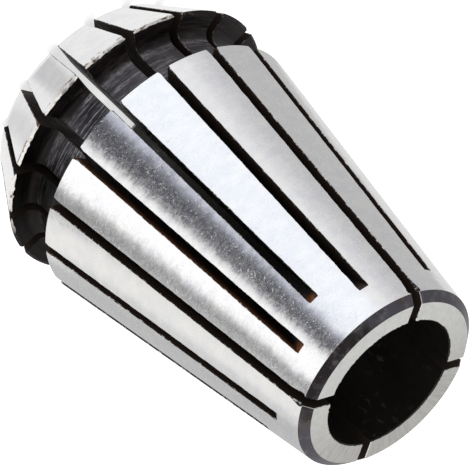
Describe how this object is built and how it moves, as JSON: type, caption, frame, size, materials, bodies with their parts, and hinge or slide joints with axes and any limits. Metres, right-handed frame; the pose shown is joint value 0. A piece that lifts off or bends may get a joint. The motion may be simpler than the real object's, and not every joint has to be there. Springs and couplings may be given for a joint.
{
  "type": "er collet",
  "caption": "Slotted spring collet: an 8 degree seating taper, a nut groove and a coned head on one body with a through bore for a round shank.",
  "frame": {"origin": "centre of the head's flat face, on which the collet stands", "axes": "+Z along the bore axis from the head to the small end; +X and +Y through slots that open at the small end"},
  "size_m": [0.021, 0.021, 0.0315],
  "materials": {
    "spring_steel": "hardened spring steel, ground bright on the cones and the end, black oxide left in the groove, slots and bore"
  },
  "bodies": {
    "root": {"collet": "spring_steel"}
  },
  "joints": []
}
